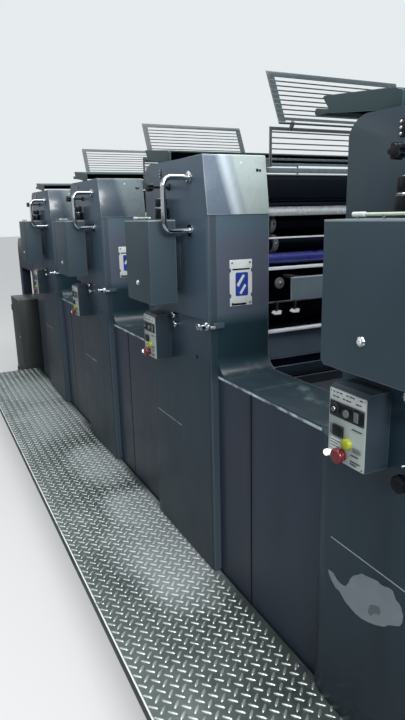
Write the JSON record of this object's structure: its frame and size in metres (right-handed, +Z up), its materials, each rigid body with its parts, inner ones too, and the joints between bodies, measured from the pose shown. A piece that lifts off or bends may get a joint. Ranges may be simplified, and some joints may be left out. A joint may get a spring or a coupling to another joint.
{
  "type": "offset printing press",
  "caption": "Sheet-fed offset printing press: a row of towers with ink rollers and hinged wire guards, tread-plate footboards, feeder and delivery.",
  "frame": {"origin": "on the floor, at the middle of the whole press's bounding box", "axes": "+X along the press towards the feeder, -Y towards the operator's side, +Z up"},
  "size_m": [9, 2.594, 2.223],
  "materials": {
    "cast_base": "dark painted casting",
    "frame_paint": "slate grey machine paint, worn at edges",
    "cover_paint": "slate grey sheet cover, satin",
    "cap_sheet": "lighter grey sheet, glossy",
    "ink_black": "black lacquer with ink film",
    "roller_steel": "ground steel",
    "cylinder_steel": "ground steel with blanket film",
    "roller_rubber": "blue rubber",
    "bar_steel": "bright steel bars",
    "panel_grey": "light grey sheet",
    "guard_steel": "grey lacquered wire and flat bar",
    "hood_paint": "dark green-grey sheet",
    "box_paint": "slate grey box",
    "control_plate": "light grey plate",
    "stop_red": "red plastic",
    "chrome": "chrome plate",
    "knob_black": "black moulded plastic",
    "tread_plate": "worn tread plate",
    "bracket_paint": "dark paint",
    "table_steel": "smooth steel table",
    "pile_wood": "plain board",
    "head_aluminium": "cast aluminium",
    "cabinet_paint": "dark grey cabinet"
  },
  "bodies": {
    "press": {"beds": "cast_base", "unit1_side_frames": "frame_paint", "unit2_side_frames": "frame_paint", "unit3_side_frames": "frame_paint", "unit4_side_frames": "frame_paint", "unit1_tower_covers": "cover_paint", "unit2_tower_covers": "cover_paint", "unit3_tower_covers": "cover_paint", "unit4_tower_covers": "cover_paint", "tower_caps": "cap_sheet", "unit_cores": "frame_paint", "inkers": "ink_black", "ink_rollers": "roller_steel", "tie_bars": "bar_steel", "ink_panels": "panel_grey", "nip_guards": "panel_grey", "guard_combs": "guard_steel", "ink_hoods": "hood_paint", "side_boxes": "box_paint", "control_panels": "control_plate", "stop_buttons": "stop_red", "chrome_fittings": "chrome", "star_knobs": "knob_black", "footboards": "tread_plate", "board_brackets": "bracket_paint", "feeder_frames": "frame_paint", "feed_table": "table_steel", "feeder_pile_board": "pile_wood", "feeder_head": "head_aluminium", "delivery_frames": "frame_paint", "delivery_hood": "cover_paint", "delivery_pile_board": "pile_wood", "delivery_cabinet": "cabinet_paint"},
    "unit1_cylinder_body": {"unit1_cylinder": "cylinder_steel"},
    "unit2_cylinder_body": {"unit2_cylinder": "cylinder_steel"},
    "unit3_cylinder_body": {"unit3_cylinder": "cylinder_steel"},
    "unit4_cylinder_body": {"unit4_cylinder": "cylinder_steel"},
    "unit1_roller_body": {"unit1_form_roller": "roller_rubber"},
    "unit2_roller_body": {"unit2_form_roller": "roller_rubber"},
    "unit3_roller_body": {"unit3_form_roller": "roller_rubber"},
    "unit4_roller_body": {"unit4_form_roller": "roller_rubber"},
    "unit1_guard_body": {"unit1_guard": "guard_steel"},
    "unit2_guard_body": {"unit2_guard": "guard_steel"},
    "unit3_guard_body": {"unit3_guard": "guard_steel"},
    "unit4_guard_body": {"unit4_guard": "guard_steel"}
  },
  "joints": [
    {"name": "unit1_cylinder_turn", "type": "hinge", "parent": "press", "child": "unit1_cylinder_body", "pos_m": [1.978, 0, 1.115], "axis": [0, 1, 0], "continuous": true},
    {"name": "unit2_cylinder_turn", "type": "hinge", "parent": "press", "child": "unit2_cylinder_body", "pos_m": [0.678, 0, 1.115], "axis": [0, 1, 0], "continuous": true},
    {"name": "unit3_cylinder_turn", "type": "hinge", "parent": "press", "child": "unit3_cylinder_body", "pos_m": [-0.622, 0, 1.115], "axis": [0, 1, 0], "continuous": true},
    {"name": "unit4_cylinder_turn", "type": "hinge", "parent": "press", "child": "unit4_cylinder_body", "pos_m": [-1.922, 0, 1.115], "axis": [0, 1, 0], "continuous": true},
    {"name": "unit1_roller_turn", "type": "hinge", "parent": "press", "child": "unit1_roller_body", "pos_m": [2.094, 0, 1.535], "axis": [0, 1, 0], "continuous": true},
    {"name": "unit2_roller_turn", "type": "hinge", "parent": "press", "child": "unit2_roller_body", "pos_m": [0.794, 0, 1.535], "axis": [0, 1, 0], "continuous": true},
    {"name": "unit3_roller_turn", "type": "hinge", "parent": "press", "child": "unit3_roller_body", "pos_m": [-0.506, 0, 1.535], "axis": [0, 1, 0], "continuous": true},
    {"name": "unit4_roller_turn", "type": "hinge", "parent": "press", "child": "unit4_roller_body", "pos_m": [-1.806, 0, 1.535], "axis": [0, 1, 0], "continuous": true},
    {"name": "unit1_guard_swing", "type": "hinge", "parent": "press", "child": "unit1_guard_body", "pos_m": [2.17, 0, 2.03], "axis": [0, 1, 0], "range_deg": [0, 110]},
    {"name": "unit2_guard_swing", "type": "hinge", "parent": "press", "child": "unit2_guard_body", "pos_m": [0.87, 0, 2.03], "axis": [0, 1, 0], "range_deg": [0, 110]},
    {"name": "unit3_guard_swing", "type": "hinge", "parent": "press", "child": "unit3_guard_body", "pos_m": [-0.43, 0, 2.03], "axis": [0, 1, 0], "range_deg": [0, 110]},
    {"name": "unit4_guard_swing", "type": "hinge", "parent": "press", "child": "unit4_guard_body", "pos_m": [-1.73, 0, 2.03], "axis": [0, 1, 0], "range_deg": [0, 110]}
  ],
  "couplings": [
    {"joint": "unit2_cylinder_turn", "follows": "unit1_cylinder_turn", "ratio": 1},
    {"joint": "unit3_cylinder_turn", "follows": "unit1_cylinder_turn", "ratio": 1},
    {"joint": "unit4_cylinder_turn", "follows": "unit1_cylinder_turn", "ratio": 1},
    {"joint": "unit1_roller_turn", "follows": "unit1_cylinder_turn", "ratio": -6},
    {"joint": "unit2_roller_turn", "follows": "unit1_cylinder_turn", "ratio": -6},
    {"joint": "unit3_roller_turn", "follows": "unit1_cylinder_turn", "ratio": -6},
    {"joint": "unit4_roller_turn", "follows": "unit1_cylinder_turn", "ratio": -6}
  ]
}
